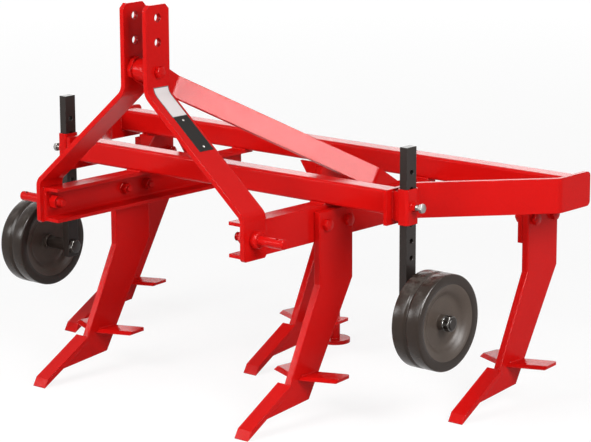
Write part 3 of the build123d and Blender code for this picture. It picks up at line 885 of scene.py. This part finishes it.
class SUBSOILER_OT_welds(bpy.types.Operator):
    """Lays the painted weld beads where the pieces of the frame meet"""
    bl_idname = "subsoiler.welds"
    bl_label = "Lay Weld Beads"

    def execute(self, context):
        beads = bmesh.new()
        for path in bead_paths():
            part = bmesh.new()
            weld_bead(part, path, context.scene.subsoiler_detail.bead)
            merge(beads, part, Matrix.Identity(4))
        piece("weld_beads", beads, "frame", "red", smooth=60)
        return {"FINISHED"}


# Blank label and plate on the right leg of the mast

# (x, z) on the leg's outer face: the corners of its upper and lower bend, and the bend's radius
MAST_BEND = Vector((0.041, 0.738))
MAST_LOW_BEND = Vector((0.326, 0.497))
MAST_BEND_R = 0.030
PLATES_FROM_FRONT = 0.021
# distances down the leg's face from the upper bend's corner
LABEL_DOWN = (-0.0085, 0.0735)
LABEL_LIFT, LABEL_THICK, LABEL_STEPS = 0.00025, 0.0002, 24
LABEL_INSET = 0.0004
BORDER_DOWN = (-0.0105, 0.0750)
BORDER_WIDER = 0.0016
PLATE_DOWN = (0.0752, 0.1795)
PLATE_THICK, PLATE_STEPS = 0.0008, 4
SHEET_LIFT = 0.00005
RIVETS_DOWN = (0.087, 0.167)
RIVET_RADIUS, RIVET_BASE, RIVET_FLATTEN, RIVET_LIFT = 0.0034, 0.0008, 0.55, 0.0004


def leg_face(distance):
    """A point (x, z) of the right leg's outer face and its normal, so far down from the bend."""
    down = (MAST_LOW_BEND - MAST_BEND).normalized()
    half_turn = math.acos(-down.y) / 2
    reach = MAST_BEND_R * math.tan(half_turn)
    arc = MAST_BEND_R * half_turn
    if distance <= -arc:
        return MAST_BEND + Vector((0, -distance - arc + reach)), Vector((1, 0))
    if distance >= arc:
        return MAST_BEND + down * (distance - arc + reach), Vector((-down.y, down.x))
    turn = (distance + arc) / MAST_BEND_R
    centre = MAST_BEND + Vector((MAST_BEND_R, reach))
    normal = Vector((math.cos(turn), math.sin(turn)))
    return centre - normal * MAST_BEND_R, normal


def face_sheet(down, y0, y1, lift, thick, steps):
    """A thin plate on the leg's outer face, bent with it."""
    start, end = down
    bm = bmesh.new()
    p, n = leg_face(start)
    edges = [bm.edges.new([bm.verts.new((p.x + n.x * lift, y, p.y + n.y * lift))
                           for y in (y0, y1)])]
    for k in range(1, steps + 1):
        p, n = leg_face(start + (end - start) * k / steps)
        verts, edges = extrude(bm, edges)
        for v in verts:
            v.co.x, v.co.z = p.x + n.x * lift, p.y + n.y * lift
    bmesh.ops.recalc_face_normals(bm, faces=bm.faces)
    faces = list(bm.faces)
    if faces[-1].normal.x < 0:
        bmesh.ops.reverse_faces(bm, faces=faces)
    bmesh.ops.solidify(bm, geom=faces, thickness=-thick)
    return bm


def rivet():
    """A flat round head on the XY plane, closed below."""
    head = bmesh.new()
    bmesh.ops.create_uvsphere(head, u_segments=20, v_segments=12, radius=RIVET_RADIUS)
    bmesh.ops.bisect_plane(head, geom=head.verts[:] + head.edges[:] + head.faces[:],
                           plane_co=(0, 0, RIVET_BASE), plane_no=(0, 0, 1), clear_inner=True)
    bmesh.ops.holes_fill(head, edges=[e for e in head.edges if e.is_boundary], sides=0)
    bmesh.ops.scale(head, vec=(1, 1, RIVET_FLATTEN), verts=head.verts)
    return head


class SUBSOILER_OT_plates(bpy.types.Operator):
    """Puts a blank white label and a blank black plate with two rivets on the right mast leg"""
    bl_idname = "subsoiler.plates"
    bl_label = "Add Blank Plates"

    def execute(self, context):
        y0 = corners("mast_leg_right")[0].y + PLATES_FROM_FRONT
        y1 = y0 + context.scene.subsoiler_detail.label_width
        border = face_sheet(BORDER_DOWN, y0 - BORDER_WIDER, y1 + BORDER_WIDER, SHEET_LIFT,
                            LABEL_THICK, LABEL_STEPS)
        piece("label_border", border, "frame", "label_edge")
        label = face_sheet(LABEL_DOWN, y0 + LABEL_INSET, y1 - LABEL_INSET, LABEL_LIFT,
                           LABEL_THICK, LABEL_STEPS)
        piece("label_blank", label, "frame", "label")
        plate = face_sheet(PLATE_DOWN, y0, y1, SHEET_LIFT, PLATE_THICK, PLATE_STEPS)
        piece("plate_blank", plate, "frame", "plate")
        rivets = bmesh.new()
        for distance in RIVETS_DOWN:
            p, n = leg_face(distance)
            normal = Vector((n.x, 0, n.y))
            place = Vector((p.x, (y0 + y1) / 2, p.y)) + normal * RIVET_LIFT
            turn = normal.to_track_quat("Z", "Y").to_matrix().to_4x4()
            merge(rivets, rivet(), Matrix.Translation(place) @ turn)
        piece("plate_rivets", rivets, "frame", "zinc")
        return {"FINISHED"}


# Studio

PAPER_RADIUS = 14.0
FADE_FROM, FADE_TO = 1.5, 7.0     # the floor turns lighter between these distances
FADE_SHARE = 0.7
MIDDLE = (0, 0, 0.4)
# name, place, target, width, height, setting that gives the strength, shows in glossy faces alone
LAMPS = (
    ("Key Light", (-0.6, -3.6, 2.6), MIDDLE, 2.0, 2.0, "key", False),
    ("Fill Light", (3.0, -0.6, 2.1), (0.3, 0, 0.4), 1.6, 1.6, "fill", False),
    ("Edge Lamp", (0.85, -2.9, 3.6), MIDDLE, 0.6, 0.6, "edge", True),
    ("Front Panel", (-2.6, -2.9, 1.5), MIDDLE, 0.9, 0.9, "front", True),
    ("Left Panel", (-3.2, 0.6, 1.0), MIDDLE, 1.4, 1.0, "left", True),
    ("Side Panel", (3.0, -0.2, 1.45), (0.2, 0.1, 0.55), 1.7, 1.2, "side", True),
    ("Rear Panel", (-2.3, 2.7, 1.6), MIDDLE, 5.0, 1.2, "rear", True),
)
SENSOR_WIDTH = 36.0
CAMERA_PLACE = (3.7924, -4.1961, 1.6142)
CAMERA_AROUND, CAMERA_ABOVE, CAMERA_ROLL = (math.radians(a) for a in (40.711, 12.666, -0.142))
CAMERA_SHIFT = (-0.0272, 0.0253)


def make_floor(studio):
    """A pale disc that lights the object as plain paper and shows as white with a soft shadow."""
    bm = bmesh.new()
    bmesh.ops.create_circle(bm, cap_ends=True, segments=96, radius=PAPER_RADIUS)
    mesh = bpy.data.meshes.new("studio_floor")
    bm.to_mesh(mesh)
    bm.free()
    floor = bpy.data.objects.new("studio_floor", mesh)
    bpy.context.scene.collection.objects.link(floor)
    paper = bpy.data.materials.new("Studio Floor")
    paper.use_nodes = True
    paper.node_tree.nodes.clear()
    g = Graph(paper.node_tree)
    distance = g.add("ShaderNodeVectorMath", {0: g.place()}, operation="LENGTH")
    away = g.ramp(distance.outputs["Value"], FADE_FROM, FADE_TO)
    lit = g.add("ShaderNodeBsdfDiffuse", {"Color": (*studio.floor, 1)})
    shaded = g.add("ShaderNodeBsdfDiffuse", {"Color": (*[studio.shadow] * 3, 1)})
    glow = g.math("MULTIPLY_ADD", away, studio.shadow * FADE_SHARE, 1.0 - studio.shadow)
    white = g.add("ShaderNodeEmission", {"Color": (1, 1, 1, 1), "Strength": glow})
    both = g.add("ShaderNodeAddShader", {0: shaded.outputs[0], 1: white.outputs[0]})
    mixed = g.add("ShaderNodeMixShader", {
        0: g.seen_directly(), 1: lit.outputs[0], 2: both.outputs[0]})
    g.add("ShaderNodeOutputMaterial", {"Surface": mixed.outputs[0]})
    mesh.materials.append(paper)


def make_world(studio):
    """Weak light from all round that shows as plain white."""
    world = bpy.data.worlds.new("Studio")
    bpy.context.scene.world = world
    world.use_nodes = True
    world.node_tree.nodes.clear()
    g = Graph(world.node_tree)
    strength = g.mix_values(g.seen_directly(), studio.sky, 1.0)
    back = g.add("ShaderNodeBackground", {"Color": (1, 1, 1, 1), "Strength": strength})
    g.add("ShaderNodeOutputWorld", {"Surface": back.outputs[0]})


def make_lamp(name, place, target, width, height, strength, sheen_only):
    """A rectangular light that faces its target: a power, or a brightness for sheen alone."""
    light = bpy.data.lights.new(name, "AREA")
    light.shape = "RECTANGLE"
    light.size, light.size_y = width, height
    light.energy = strength * math.pi * width * height if sheen_only else strength
    made = bpy.data.objects.new(name, light)
    made.location = place
    made.rotation_mode = "QUATERNION"
    made.rotation_quaternion = (Vector(target) - Vector(place)).to_track_quat("-Z", "Y")
    made.visible_camera = False
    made.visible_diffuse = not sheen_only
    bpy.context.scene.collection.objects.link(made)


def make_camera(lens):
    """The camera at the photo's angle."""
    camera = bpy.data.cameras.new("Camera")
    camera.sensor_fit = "HORIZONTAL"
    camera.sensor_width = SENSOR_WIDTH
    camera.lens = lens
    camera.shift_x, camera.shift_y = CAMERA_SHIFT
    camera.clip_start, camera.clip_end = 0.1, 100.0
    made = bpy.data.objects.new("Camera", camera)
    level = math.cos(CAMERA_ABOVE)
    back_way = Vector((math.sin(CAMERA_AROUND) * level, -math.cos(CAMERA_AROUND) * level,
                       math.sin(CAMERA_ABOVE)))
    roll = Matrix.Rotation(CAMERA_ROLL, 3, "Z").to_quaternion()
    made.rotation_mode = "QUATERNION"
    made.rotation_quaternion = (-back_way).to_track_quat("-Z", "Y") @ roll
    made.location = CAMERA_PLACE
    bpy.context.scene.collection.objects.link(made)
    bpy.context.scene.camera = made


class SUBSOILER_OT_studio(bpy.types.Operator):
    """Sets up the floor, the soft lights and the camera"""
    bl_idname = "subsoiler.studio"
    bl_label = "Set Up Studio"

    def execute(self, context):
        studio = context.scene.subsoiler_studio
        context.scene.view_settings.view_transform = "Standard"
        make_floor(studio)
        make_world(studio)
        for name, place, target, width, height, setting, sheen_only in LAMPS:
            make_lamp(name, place, target, width, height, getattr(studio, setting), sheen_only)
        make_camera(studio.lens)
        return {"FINISHED"}


class SUBSOILER_PT_panel(bpy.types.Panel):
    """Everything that dresses the subsoiler, in the order in which it is run"""
    bl_idname = "SUBSOILER_PT_panel"
    bl_label = "Subsoiler"
    bl_space_type = "VIEW_3D"
    bl_region_type = "UI"
    bl_category = "Subsoiler"

    def draw(self, context):
        column = self.layout.column()
        for settings, _ in SETTINGS:
            group = getattr(context.scene, settings)
            for key in group.bl_rna.properties.keys():
                if key not in ("rna_type", "name"):
                    column.prop(group, key)
        for operator in OPERATORS:
            column.operator(operator.bl_idname)


SETTINGS = (("subsoiler_finish", SubsoilerFinish), ("subsoiler_detail", SubsoilerDetail),
            ("subsoiler_studio", SubsoilerStudio))
OPERATORS = (SUBSOILER_OT_studio, SUBSOILER_OT_paint, SUBSOILER_OT_fasteners,
             SUBSOILER_OT_hitch_pins, SUBSOILER_OT_wheels, SUBSOILER_OT_axles,
             SUBSOILER_OT_welds, SUBSOILER_OT_plates)


def register():
    for name, group in SETTINGS:
        bpy.utils.register_class(group)
        setattr(bpy.types.Scene, name, bpy.props.PointerProperty(type=group))
    for kind in OPERATORS + (SUBSOILER_PT_panel,):
        bpy.utils.register_class(kind)


def unregister():
    for kind in reversed(OPERATORS + (SUBSOILER_PT_panel,)):
        bpy.utils.unregister_class(kind)
    for name, group in reversed(SETTINGS):
        delattr(bpy.types.Scene, name)
        bpy.utils.unregister_class(group)


def main():
    register()
    for kind in OPERATORS:
        family, action = kind.bl_idname.split(".")
        getattr(getattr(bpy.ops, family), action)()


if __name__ == "__main__":
    main()
